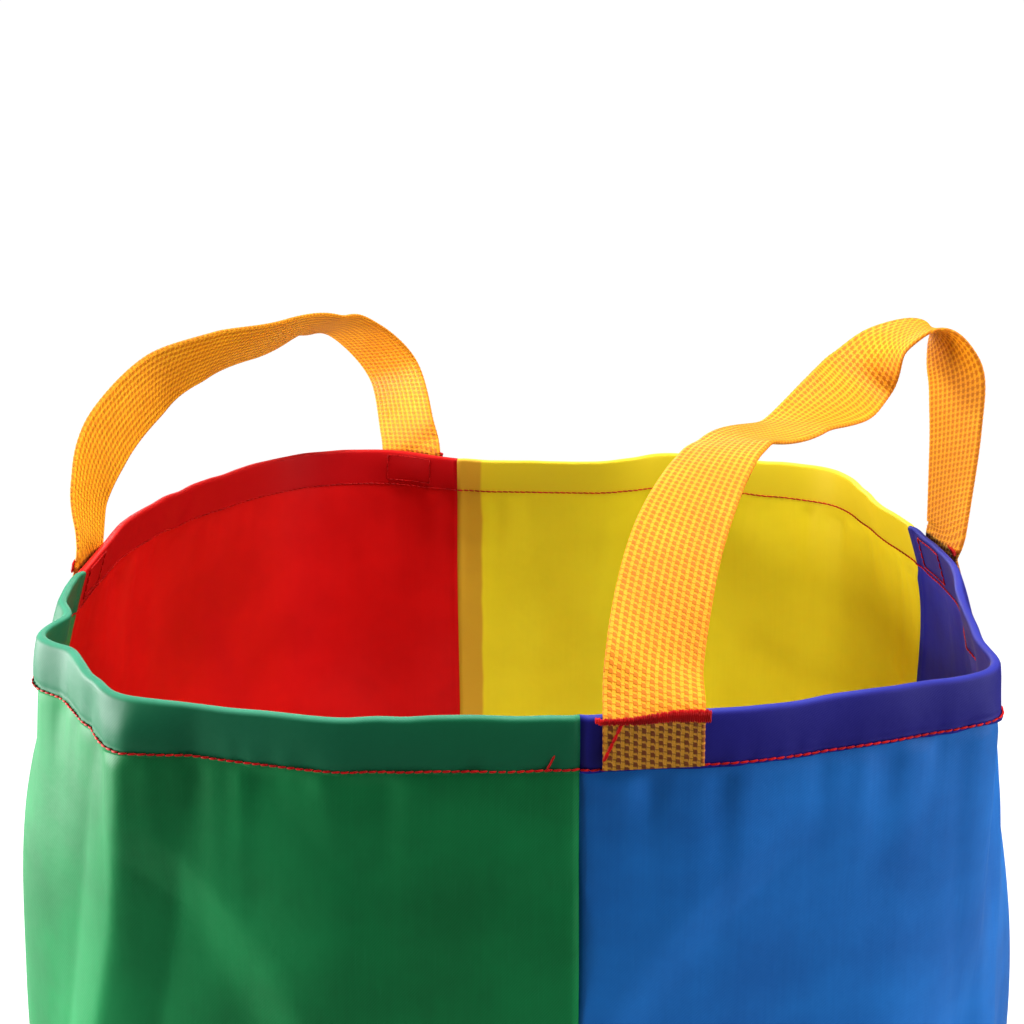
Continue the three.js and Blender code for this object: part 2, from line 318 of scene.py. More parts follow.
def rim_ripple(s, z):
    """Slight waves of the wall near the rim, strongest where the mouth folds in at the left."""
    high = smoothstep(60 * MM, 0, RIM - z)
    ripple = 0.55 * smooth_noise(s / (21 * MM), 0, 21) + 0.3 * smooth_noise(s / (9 * MM), 0, 22)
    fold_in = 4.2 * np.exp(-((apart(s, -196 * MM) / (9 * MM)) ** 2))
    fold_out = 3.0 * np.exp(-((apart(s, -176 * MM) / (10 * MM)) ** 2))
    return MM * high * (ripple - fold_in + fold_out)


def seam_pull(s, z):
    """The cloth draws in along each sewn side seam, with short gathers across it."""
    near = np.mod(s + PANEL / 2, PANEL) - PANEL / 2
    seam = np.round(s / PANEL)
    valley = -0.75 * np.exp(-((near / (1.6 * MM)) ** 2))
    gathers = smooth_noise(z / (11 * MM), seam + 3 * np.sign(near), 31)
    gathers += 0.5 * smooth_noise(z / (5.5 * MM), seam + 3 * np.sign(near), 32)
    across = 0.5 * gathers * np.exp(-np.abs(near) / (9 * MM)) * (1 - np.exp(-((near / (2 * MM)) ** 2)))
    return MM * (valley + across * smoothstep(0, 30 * MM, RIM - z))


def relief(s, z):
    """How far the middle of the wall stands out from its smooth shape."""
    foot = smoothstep(0, 60 * MM, z)
    folds = broad_folds(s, z) + pressed_creases(s, z) + diagonal_creases(s, z)
    return folds * foot + hem_puckers(s, z) + rim_ripple(s, z) + seam_pull(s, z) * foot


TANGENT_STEP = 2 * MM


def rim_wave(s, z):
    """The slight rise and fall of the rim's height."""
    wave = 0.6 * smooth_noise(s / (26 * MM), 0, 23) + 0.25 * smooth_noise(s / (9 * MM), 0, 24)
    return MM * wave * smoothstep(40 * MM, 0, RIM - z)


def on_wall(s, z, offset):
    """Points of the wall. s, z and offset are arrays that go together."""
    s, z, offset = np.broadcast_arrays(*(np.asarray(values, float) for values in (s, z, offset)))
    tangent = middle_of_wall(s + TANGENT_STEP, z) - middle_of_wall(s - TANGENT_STEP, z)
    tangent /= np.linalg.norm(tangent, axis=-1, keepdims=True)
    out = np.stack([tangent[..., 1], -tangent[..., 0]], -1)
    plan = middle_of_wall(s, z) + out * (offset + relief(s, z))[..., None]
    return np.concatenate([plan, (z + rim_wave(s, z))[..., None]], -1)


# ---------------------------------------------------------------- meshes

def mesh_object(name, vertices, faces, uv=None, smooth=True):
    mesh = bpy.data.meshes.new(name)
    mesh.from_pydata([tuple(v) for v in vertices], [], faces)
    mesh.validate()
    if uv is not None:
        layer = mesh.uv_layers.new(name="cloth")
        corners = np.zeros(len(mesh.loops), int)
        mesh.loops.foreach_get("vertex_index", corners)
        layer.data.foreach_set("uv", np.asarray(uv, float)[corners].ravel())
    mesh.polygons.foreach_set("use_smooth", [smooth] * len(mesh.polygons))
    mesh.update()
    obj = bpy.data.objects.new(name, mesh)
    bpy.context.scene.collection.objects.link(obj)
    return obj


def grid_faces(rows, columns, first, flip):
    faces = []
    for i in range(rows - 1):
        for j in range(columns - 1):
            a = first + i * columns + j
            quad = (a, a + 1, a + columns + 1, a + columns)
            faces.append(quad[::-1] if flip else quad)
    return faces


def thin_solid(name, front, back, uv):
    """A closed thin body from two grids of points, front and back, with joined edges."""
    rows, columns = front.shape[:2]
    count = rows * columns
    vertices = np.concatenate([front.reshape(-1, 3), back.reshape(-1, 3)])
    faces = grid_faces(rows, columns, 0, False) + grid_faces(rows, columns, count, True)
    border = list(range(columns))
    border += [i * columns + columns - 1 for i in range(1, rows)]
    border += [(rows - 1) * columns + j for j in range(columns - 2, -1, -1)]
    border += [i * columns for i in range(rows - 2, 0, -1)]
    for a, b in zip(border, border[1:] + border[:1]):
        faces.append((b, a, a + count, b + count))
    both = np.concatenate([uv.reshape(-1, 2), uv.reshape(-1, 2)])
    return mesh_object(name, vertices, faces, both)


def tube(centres, radius, sides=6):
    """Vertices and faces of a thread along centres, thinner at its ends."""
    centres = np.asarray(centres, float)
    tangent = np.gradient(centres, axis=0)
    tangent /= np.linalg.norm(tangent, axis=1, keepdims=True) + 1e-12
    guide = np.array([0.31, 0.17, 0.93])
    side = np.cross(tangent, guide)
    side /= np.linalg.norm(side, axis=1, keepdims=True) + 1e-12
    up = np.cross(side, tangent)
    count = len(centres)
    along = np.linspace(0, 1, count)
    swell = radius * np.clip(np.sin(np.pi * np.clip(along, 0.04, 0.96)) * 3, 0, 1)
    turns = 2 * np.pi * np.arange(sides) / sides
    ring = np.cos(turns)[None, :, None] * side[:, None] + np.sin(turns)[None, :, None] * up[:, None]
    vertices = (centres[:, None] + ring * swell[:, None, None]).reshape(-1, 3)
    faces = []
    for i in range(count - 1):
        for j in range(sides):
            a = i * sides + j
            b = i * sides + (j + 1) % sides
            faces.append((a, b, b + sides, a + sides))
    faces.append(tuple(range(sides))[::-1])
    faces.append(tuple((count - 1) * sides + j for j in range(sides)))
    return vertices, faces


STITCH_POINTS = 6


def threads(name, paths, radius, sides=6):
    """One object from many short threads."""
    vertices = []
    faces = []
    first = 0
    for path in paths:
        points, quads = tube(path, radius, sides)
        vertices.append(points)
        faces += [tuple(first + k for k in quad) for quad in quads]
        first += len(points)
    return mesh_object(name, np.concatenate(vertices), faces)


def stitches(place, length, gap=0.12 * MM, bow=0.35 * MM):
    """Paths of running stitches along a length. place(t, lift) gives points at distances t."""
    paths = []
    count = max(1, round(length / STITCH_LENGTH))
    pitch = length / count
    lift = bow * (np.sin(np.pi * np.linspace(0.06, 0.94, STITCH_POINTS)) - 0.55)
    for k in range(count):
        t = np.linspace(k * pitch + gap / 2, (k + 1) * pitch - gap / 2, STITCH_POINTS)
        paths.append(place(t, lift))
    return paths


# ---------------------------------------------------------------- materials

def node_material(name):
    material = bpy.data.materials.new(name)
    material.use_nodes = True
    tree = material.node_tree
    return material, tree, tree.nodes["Principled BSDF"]


def math_node(tree, operation, a, b=None, c=None, clamp=False):
    node = tree.nodes.new("ShaderNodeMath")
    node.operation = operation
    node.use_clamp = clamp
    for socket, value in zip(node.inputs, (a, b, c)):
        if value is None:
            continue
        if isinstance(value, (int, float)):
            socket.default_value = value
        else:
            tree.links.new(value, socket)
    return node.outputs[0]


def mix_colour(tree, factor, a, b, blend="MIX"):
    node = tree.nodes.new("ShaderNodeMix")
    node.data_type = "RGBA"
    node.blend_type = blend
    for socket, value in zip((node.inputs[0], node.inputs[6], node.inputs[7]), (factor, a, b)):
        if isinstance(value, (tuple, list, int, float)):
            socket.default_value = value
        else:
            tree.links.new(value, socket)
    return node.outputs[2]


def ramp(tree, value, low, high):
    node = tree.nodes.new("ShaderNodeMapRange")
    node.interpolation_type = "SMOOTHSTEP"
    node.inputs["From Min"].default_value = low
    node.inputs["From Max"].default_value = high
    tree.links.new(value, node.inputs["Value"])
    return node.outputs["Result"]


def noise(tree, vector, scale, detail=3.0, rough=0.55):
    node = tree.nodes.new("ShaderNodeTexNoise")
    node.inputs["Scale"].default_value = scale
    node.inputs["Detail"].default_value = detail
    node.inputs["Roughness"].default_value = rough
    tree.links.new(vector, node.inputs["Vector"])
    return node.outputs["Fac"]


def linear(colour):
    """A colour given as eight-bit sRGB numbers, in linear light."""
    parts = [value / 255 for value in colour]
    return tuple(p / 12.92 if p <= 0.04045 else ((p + 0.055) / 1.055) ** 2.4 for p in parts) + (1.0,)


def cloth_coordinates(tree):
    """s and z in millimetres from the cloth's own map, and the two as a vector."""
    uv = tree.nodes.new("ShaderNodeUVMap")
    uv.uv_map = "cloth"
    scaled = tree.nodes.new("ShaderNodeVectorMath")
    scaled.operation = "SCALE"
    scaled.inputs["Scale"].default_value = 1 / MM
    tree.links.new(uv.outputs["UV"], scaled.inputs[0])
    split = tree.nodes.new("ShaderNodeSeparateXYZ")
    tree.links.new(scaled.outputs[0], split.inputs[0])
    return split.outputs["X"], split.outputs["Y"], scaled.outputs[0]


def periodic(tree, value, pitch):
    """A wave from -1 to 1 with the given pitch."""
    return math_node(tree, "SINE", math_node(tree, "MULTIPLY", value, 2 * math.pi / pitch))


def bump(tree, shader, height, strength, distance):
    node = tree.nodes.new("ShaderNodeBump")
    node.inputs["Strength"].default_value = strength
    node.inputs["Distance"].default_value = distance
    tree.links.new(height, node.inputs["Height"])
    tree.links.new(node.outputs["Normal"], shader.inputs["Normal"])


# Measures on the cloth's map, in millimetres.
YARN_PITCH = 0.62
STITCH_MM = STITCH_Z / MM
NEEDLE_PITCH = STITCH_LENGTH / MM
RIM_MM = RIM / MM


def polyester(name, colour, dark, light, hem=None, allowance=None):
    """Fine woven polyester: cloudy tone, a soft gloss, a painted highlight along the fold and needle marks.

    hem is the darker colour above the stitches: the cloth's reverse face on the outside, and painted shade
    where the doubled cloth lets less light through. allowance is a place round the girth and
    the colour of the strip of seam that shows through there.
    """
    material, tree, shader = node_material(name)
    s, z, place = cloth_coordinates(tree)
    cloudy = noise(tree, place, 0.018, 4.0)
    streaks = tree.nodes.new("ShaderNodeMapping")
    streaks.inputs["Scale"].default_value = (0.9, 0.03, 1)
    tree.links.new(place, streaks.inputs["Vector"])
    streaky = noise(tree, streaks.outputs[0], 1.0, 2.0)
    tone = math_node(tree, "MULTIPLY_ADD", streaky, 0.1, cloudy)
    mottle = ramp(tree, tone, 0.35, 0.75)
    base = mix_colour(tree, mottle, linear(dark), linear(colour))
    twill = math_node(tree, "ADD", s, math_node(tree, "MULTIPLY", z, 0.5))
    warp = periodic(tree, twill, YARN_PITCH * 1.3)
    weft = periodic(tree, z, YARN_PITCH)
    weave = math_node(tree, "MULTIPLY", warp, weft)
    # The raised yarns get a painted highlight in the lit-fibre colour.
    raised = math_node(tree, "MULTIPLY", ramp(tree, weave, -1.4, 3.0), 0.1)
    base = mix_colour(tree, raised, base, linear(light))
    slub = math_node(tree, "GREATER_THAN", noise(tree, streaks.outputs[0], 3.1, 0.0), 0.74)
    base = mix_colour(tree, math_node(tree, "MULTIPLY", slub, 0.02), base, linear(light))
    if hem:
        # Above the stitches: the reverse face's colour on the outside, and painted shade on the inside where
        # the doubled cloth lets less light through.
        in_hem = ramp(tree, z, STITCH_MM - 0.6, STITCH_MM + 0.2)
        hem_tone = mix_colour(tree, 0.25, linear(hem), linear(dark))
        hem_colour = mix_colour(tree, mottle, hem_tone, linear(hem))
        base = mix_colour(tree, math_node(tree, "MULTIPLY", in_hem, 0.9), base, hem_colour)
    if allowance:
        strip, strip_colour = allowance
        from_seam = math_node(tree, "ABSOLUTE", math_node(tree, "SUBTRACT", s, strip))
        uneven = math_node(tree, "MULTIPLY_ADD", noise(tree, place, 0.05, 1.0), 2.2, from_seam)
        inside = math_node(tree, "SUBTRACT", 1.0, ramp(tree, uneven, 10.6, 12.0))
        base = mix_colour(tree, math_node(tree, "MULTIPLY", inside, 0.82), base, linear(strip_colour))
    # A painted highlight along the fold at the rim, in the lit-fibre colour.
    edge_tint = ramp(tree, math_node(tree, "MULTIPLY_ADD", cloudy, 1.2, z), RIM_MM - 0.4, RIM_MM + 0.9)
    base = mix_colour(tree, math_node(tree, "MULTIPLY", edge_tint, 0.4), base, linear(light))
    beside = math_node(tree, "ABSOLUTE", math_node(tree, "SUBTRACT", z, STITCH_MM))
    hole = math_node(tree, "COSINE", math_node(tree, "MULTIPLY", s, 2 * math.pi / NEEDLE_PITCH))
    needle = math_node(tree, "MULTIPLY", ramp(tree, beside, 0.9, 0.1), ramp(tree, hole, 0.6, 1.0))
    base = mix_colour(tree, math_node(tree, "MULTIPLY", needle, 0.6), base, linear(dark))
    tree.links.new(base, shader.inputs["Base Color"])
    gloss = math_node(tree, "MULTIPLY_ADD", cloudy, 0.16, 0.42)
    tree.links.new(gloss, shader.inputs["Roughness"])
    shader.inputs["Specular IOR Level"].default_value = 0.09
    shader.inputs["Sheen Weight"].default_value = 0.01
    shader.inputs["Sheen Roughness"].default_value = 0.35
    shader.inputs["Sheen Tint"].default_value = linear(light)
    wrinkled = noise(tree, place, 0.11, 3.0)
    height = math_node(tree, "MULTIPLY_ADD", wrinkled, 3.2, math_node(tree, "MULTIPLY", weave, 0.22))
    bump(tree, shader, height, 0.55, 0.0001)
    return material


WEBBING_COLUMNS = 12
FLOAT_PITCH = 1.9


def webbing_material():
    """Coarse orange webbing: raised floats up each column, stepped weft, and painted shade in the pockets
    between.
    """
    material, tree, shader = node_material("webbing")
    across, along, place = cloth_coordinates(tree)
    column = math_node(tree, "DIVIDE", across, WEBBING_WIDTH / MM / WEBBING_COLUMNS)
    index = math_node(tree, "FLOOR", column)
    wobble = math_node(tree, "MULTIPLY_ADD", noise(tree, place, 0.35, 2.0), 0.3, -0.15)
    in_column = math_node(tree, "ADD", math_node(tree, "FRACT", column), wobble)
    steps = math_node(tree, "MULTIPLY_ADD", index, 0.37, math_node(tree, "DIVIDE", along, FLOAT_PITCH))
    in_row = math_node(tree, "FRACT", math_node(tree, "MULTIPLY_ADD", in_column, 0.22, steps))
    from_float = math_node(tree, "ABSOLUTE", math_node(tree, "SUBTRACT", in_column, 0.32))
    float_up = ramp(tree, from_float, 0.3, 0.14)
    from_weft = math_node(tree, "ABSOLUTE", math_node(tree, "SUBTRACT", in_row, 0.5))
    weft = ramp(tree, from_weft, 0.24, 0.09)
    raised = math_node(tree, "MAXIMUM", float_up, math_node(tree, "MULTIPLY", weft, 0.8))
    notch = math_node(tree, "MULTIPLY", float_up, ramp(tree, from_weft, 0.34, 0.46))
    raised = math_node(tree, "MULTIPLY_ADD", notch, -0.55, raised)
    fibres = periodic(tree, math_node(tree, "MULTIPLY_ADD", in_row, 0.3, across), 0.32)
    cloudy = noise(tree, place, 0.04, 3.0)
    where = tree.nodes.new("ShaderNodeTexCoord")
    split = tree.nodes.new("ShaderNodeSeparateXYZ")
    tree.links.new(where.outputs["Object"], split.inputs[0])
    # Where the webbing lies on the hem below the rim, painted shade darkens it, as no light comes through it
    # there.
    shade_on_hem = ramp(tree, split.outputs["Z"], RIM + 0.6 * MM, RIM - 1.2 * MM)
    # The pockets between the floats get painted shade, a deeper orange. The float tops get the lit colour.
    deep = mix_colour(tree, cloudy, linear((196, 104, 8)), linear((212, 120, 12)))
    deep = mix_colour(tree, shade_on_hem, deep, linear((112, 52, 12)))
    top = mix_colour(tree, ramp(tree, cloudy, 0.3, 0.7), linear((238, 150, 14)), linear((246, 166, 24)))
    # Painted highlights along the fibres on the float tops.
    top = mix_colour(tree, ramp(tree, fibres, -1.0, 9.0), top, linear((255, 200, 70)))
    top = mix_colour(tree, shade_on_hem, top, linear((204, 142, 36)))
    base = mix_colour(tree, raised, deep, top)
    edge = math_node(tree, "ABSOLUTE", math_node(tree, "SUBTRACT", across, WEBBING_WIDTH / MM / 2))
    edge_tint = ramp(tree, edge, 11.4, 12.4)
    base = mix_colour(tree, math_node(tree, "MULTIPLY", edge_tint, 0.3), base, linear((226, 128, 20)))
    tree.links.new(base, shader.inputs["Base Color"])
    shader.inputs["Roughness"].default_value = 0.55
    shader.inputs["Specular IOR Level"].default_value = 0.18
    shader.inputs["Sheen Weight"].default_value = 0.04
    shader.inputs["Sheen Roughness"].default_value = 0.4
    shader.inputs["Sheen Tint"].default_value = linear((255, 190, 70))
    height = math_node(tree, "MULTIPLY_ADD", fibres, 0.08, raised)
    bump(tree, shader, height, 0.8, 0.0003)
    return material


def thread_material():
    """Twisted red sewing thread with a soft gloss."""
    material, tree, shader = node_material("thread")
    where = tree.nodes.new("ShaderNodeTexCoord")
    cloudy = noise(tree, where.outputs["Object"], 160.0, 3.0)
    fine = noise(tree, where.outputs["Object"], 5200.0, 1.0)
    base = mix_colour(tree, ramp(tree, cloudy, 0.3, 0.7), linear((136, 6, 10)), linear((190, 10, 12)))
    base = mix_colour(tree, ramp(tree, fine, 0.45, 0.8), base, linear((210, 26, 22)))
    tree.links.new(base, shader.inputs["Base Color"])
    shader.inputs["Roughness"].default_value = 0.45
    shader.inputs["Specular IOR Level"].default_value = 0.1
    bump(tree, shader, fine, 0.5, 0.00008)
    return material


# Colours as sRGB numbers: the cloth, its darker clouds, its lit fibres, and for a lining its hem.
SHELL_LOOKS = {
    "blue": ((24, 106, 188), (16, 84, 160), (92, 170, 226)),
    "yellow": ((228, 202, 32), (214, 186, 24), (246, 228, 90)),
    "red": ((200, 16, 16), (178, 10, 12), (228, 60, 50)),
    "green": ((10, 118, 60), (6, 96, 46), (90, 196, 146)),
}
LINING_LOOKS = {
    "blue": ((34, 40, 160), (24, 22, 108), (74, 84, 190), (30, 26, 110)),
    "yellow": ((238, 214, 32), (226, 200, 24), (250, 232, 96), (214, 186, 34)),
    "red": ((212, 12, 12), (190, 6, 8), (230, 56, 46), (176, 8, 14)),
    "green": ((24, 124, 62), (16, 96, 48), (104, 190, 158), (18, 92, 64)),
}
ALLOWANCE = (PANELS.index("red") * PANEL / MM, (200, 138, 40))

MATERIALS = {}
for panel_name in PANELS:
    outside = "shell_" + panel_name
    inside = "lining_" + panel_name
    strip = ALLOWANCE if panel_name == "yellow" else None
    MATERIALS[outside] = polyester(outside, *SHELL_LOOKS[panel_name])
    MATERIALS[inside] = polyester(inside, *LINING_LOOKS[panel_name], allowance=strip)
MATERIALS["webbing"] = webbing_material()
MATERIALS["thread"] = thread_material()


def finish_piece(obj, material, nodes, body="bag"):
    obj.data.materials.clear()
    obj.data.materials.append(MATERIALS[material])
    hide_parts(*nodes)
    if body:
        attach(obj, body)


# ---------------------------------------------------------------- cloth panels

S_STEPS = 118
SHELL_MARGIN = 1.0 * MM
LINING_FOOT = 1.9 * MM
FINE_HEIGHT = 60 * MM


def panel_columns(panel):
    return np.linspace(panel * PANEL, (panel + 1) * PANEL, S_STEPS + 1)


def wall_heights(low, high):
    """Heights of a panel's rows of points, closer together near the rim."""
    coarse = np.linspace(low, high - FINE_HEIGHT, 110)
    fine = np.linspace(high - FINE_HEIGHT, high, 49)[1:]
    return np.concatenate([coarse, fine])


def build_shell(panel, colour):
    s = panel_columns(panel)
    z = wall_heights(SHELL_MARGIN, RIM - SHELL_MARGIN)
    s_grid, z_grid = np.meshgrid(s, z)
    front = on_wall(s_grid, z_grid, SHELL_OFFSET + CLOTH / 2)
    back = on_wall(s_grid, z_grid, SHELL_OFFSET - CLOTH / 2)
    uv = np.stack([s_grid, z_grid], -1)
    shell = thin_solid("shell_" + colour + "_cloth", front, back, uv)
    finish_piece(shell, "shell_" + colour, ["shell_" + colour])


def lining_path():
    """The lining's way from its foot, up the inside, over the rim and down to the hem's edge."""
    middle = (LINING_OFFSET + HEM_OFFSET) / 2
    radius = (HEM_OFFSET - LINING_OFFSET) / 2
    inside = [(LINING_OFFSET, z, -1, 0) for z in wall_heights(LINING_FOOT, RIM - radius)]
    over = []
    for turn in np.linspace(math.pi, 0, 11)[1:-1]:
        across, up = math.cos(turn), math.sin(turn)
        over.append((middle + radius * across, RIM - radius + radius * up, across, up))
    outside = [(HEM_OFFSET, z, 1, 0) for z in np.linspace(RIM - radius, HEM_LOW, 12)]
    return np.array(inside + over + outside)


def build_lining(panel, colour):
    s = panel_columns(panel)
    path = lining_path()
    half = CLOTH / 2
    along = lengths_along(path[:, :2])
    s_grid = np.meshgrid(s, path[:, 0])[0]
    offset, z_grid, across, up = (np.meshgrid(s, column)[1] for column in path.T)
    turned_out = smoothstep(0, HEM_OFFSET, offset)
    low = turned_out * smoothstep(STITCH_Z + 9 * MM, STITCH_Z, z_grid)
    loose = 0.45 * MM * turned_out * smoothstep(STITCH_Z, HEM_LOW, z_grid)
    puff = 0.35 * MM * turned_out * np.sin(np.pi * np.clip((z_grid - STITCH_Z) / (RIM - STITCH_Z), 0, 1))
    dip = -0.35 * MM * turned_out * np.exp(-(((z_grid - STITCH_Z) / (0.8 * MM)) ** 2))
    frill = 0.3 * MM * low * smooth_noise(s_grid / (3.1 * MM), 0, 41)
    uneven = 0.35 * MM * low * smooth_noise(s_grid / (7 * MM), 0, 42)
    offset = offset + loose + puff + dip + np.maximum(frill, -0.2 * MM)
    edge_z = z_grid + uneven
    front = on_wall(s_grid, edge_z + up * half, offset + across * half)
    back = on_wall(s_grid, edge_z - up * half, offset - across * half)
    uv = np.stack([s_grid, z_grid], -1)
    lining = thin_solid("lining_" + colour + "_cloth", back, front, uv)
    finish_piece(lining, "lining_" + colour, ["lining_" + colour])


def build_bottom(name, radius, low, material):
    """A round of cloth with slight slack. low is the height of its underside."""
    rings = 40
    sides = 160
    out = np.linspace(0.004, 1, rings)
    turn = np.linspace(0, 2 * math.pi, sides + 1)[:-1]
    out_grid, turn_grid = np.meshgrid(out, turn, indexing="ij")
    x = radius * out_grid * np.cos(turn_grid)
    y = radius * out_grid * np.sin(turn_grid)
    uneven = 1 + smooth_noise(x / (34 * MM), y / (34 * MM), 51)
    slack = 0.3 * MM * uneven * smoothstep(1, 0.8, out_grid)
    z = low + 0.1 * MM + slack
    front = np.stack([x, y, z + CLOTH], -1)
    back = np.stack([x, y, z], -1)
    count = rings * sides
    vertices = np.concatenate([front.reshape(-1, 3), back.reshape(-1, 3)])
    faces = []
    for i in range(rings - 1):
        for j in range(sides):
            a = i * sides + j
            b = i * sides + (j + 1) % sides
            faces.append((a, a + sides, b + sides, b))
            faces.append((a + count, b + count, b + sides + count, a + sides + count))
    for j in range(sides):
        a = (rings - 1) * sides + j
        b = (rings - 1) * sides + (j + 1) % sides
        faces.append((b, a, a + count, b + count))
    faces.append(tuple(range(sides)))
    faces.append(tuple(count + j for j in range(sides))[::-1])
    uv = np.concatenate([front.reshape(-1, 3)[:, :2], back.reshape(-1, 3)[:, :2]])
    disc = mesh_object(name + "_cloth", vertices, faces, uv)
    finish_piece(disc, material, [name])


# ---------------------------------------------------------------- hem stitches

def hem_stitches(name, offset, way):
    """The row of stitches all round the hem, with a loose end near the front seam on the outside."""

    def place(t, lift):
        wander = 0.18 * MM * smooth_noise(t / (17 * MM), 0, 61)
        lean = 0.12 * MM * np.linspace(-1, 1, len(t))
        return on_wall(t, STITCH_Z + wander + lean, offset + way * lift)

    paths = stitches(place, GIRTH, gap=0.02 * MM, bow=0.25 * MM)
    if way > 0:
        t = np.linspace(0, 1, 8)
        paths.append(on_wall((-8.6 + 2 * t) * MM, STITCH_Z + 4.2 * MM * t, offset + 0.2 * MM * t))
    row = threads(name + "_stitches", paths, THREAD)
    finish_piece(row, "thread", [name])


# ---------------------------------------------------------------- handles

# Middle of each free strap from its first sewn end: x, y, height over the rim, and its turn in degrees
# about its own way from WIDTH_REFERENCE. Millimetres.
ROUTES = {
    "right_handle": [
        (31, -136, 0, 84),
        (32, -123, 9, 92),
        (40, -93, 30, 60),
        (53, -63, 44, 24),
        (62, -47, 47, -5),
        (84, -22, 46, -2),
        (103, 0, 51, 46),
        (112, 12, 56, 54),
        (122, 14, 67, 14),
        (135, 11, 71, -4),
        (142, 9, 59, -30),
        (144, 9, 41, -24),
        (144, 8, 17, -16),
        (143, 5, 0, -10),
    ],
    "left_handle": [
        (-142, -9, 0, 6),
        (-144, 2, 18, -10),
        (-141, 16, 32, -36),
        (-129, 43, 47, -51),
        (-114, 63, 53, -44),
        (-98, 86, 55, -37),
        (-81, 117, 56, -28),
        (-70, 139, 51, -51),
        (-55, 151, 32, -68),
        (-48, 137, 8, -75),
        (-46, 132, 0, -88),
    ],
}
WIDTH_REFERENCE = {"right_handle": (0, -1, 0), "left_handle": (0, 1, 0)}
TAB_FROM_SEAM = 17 * MM
REAR_LEFT_TAB_FROM_SEAM = 22 * MM
RED_START = PANELS.index("red") * PANEL
# The places round the girth of each handle's sewn ends. Every route starts at the front one.
TABS = {
    "right_handle": {
        "front": TAB_FROM_SEAM,
        "rear": PANEL - TAB_FROM_SEAM,
    },
    "left_handle": {
        "rear": RED_START + REAR_LEFT_TAB_FROM_SEAM,
        "front": RED_START + PANEL - TAB_FROM_SEAM,
    },
}


ROUTE_SAMPLES = 24
TURN_SMOOTHING = 19
END_TRIM = 5
EASE = 9
STRAP_STEP = 0.7 * MM
POINTS_PER_COLUMN = 4


def turned(vector, axis, angle):
    """Vectors turned about unit axes by an angle each."""
    cosine = np.cos(angle)[:, None]
    sine = np.sin(angle)[:, None]
    along = (vector * axis).sum(1, keepdims=True)
    return vector * cosine + np.cross(axis, vector) * sine + axis * along * (1 - cosine)


def strap_frames(handle):
    """Middle, width direction and distance along the free part of a handle."""
    route = np.array(ROUTES[handle], float)
    points = route[:, :3] * MM + np.array([0, 0, RIM])
    middle = catmull_rom(points, False, ROUTE_SAMPLES)
    turns = np.interp(np.linspace(0, len(route) - 1, len(middle)), np.arange(len(route)), route[:, 3])
    kernel = np.hanning(TURN_SMOOTHING)
    kernel /= kernel.sum()
    turns = np.convolve(np.pad(turns, TURN_SMOOTHING // 2, mode="edge"), kernel, mode="valid")
    tangent = np.gradient(middle, axis=0)
    tangent /= np.linalg.norm(tangent, axis=1, keepdims=True)
    reference = np.array(WIDTH_REFERENCE[handle], float)
    width = reference - (tangent @ reference)[:, None] * tangent
    width /= np.linalg.norm(width, axis=1, keepdims=True)
    return middle, turned(width, tangent, np.radians(turns))


def tab_frames(place, rising):
    """Middle and width direction of a sewn end, from its lower edge up, or down where not rising."""
    z = np.linspace(TAB_LOW, TAB_HIGH - 1.5 * MM, 12)
    middle = on_wall(np.full_like(z, place), z, WEBBING_OFFSET)
    ahead = on_wall(np.full_like(z, place + 5 * MM), z, WEBBING_OFFSET)
    width = ahead - middle
    width[:, 2] = 0
    width /= np.linalg.norm(width, axis=1, keepdims=True)
    if rising:
        return middle, width
    return middle[::-1], width[::-1]


def resample(values, wanted, along):
    return np.stack([np.interp(wanted, along, values[:, k]) for k in range(3)], -1)


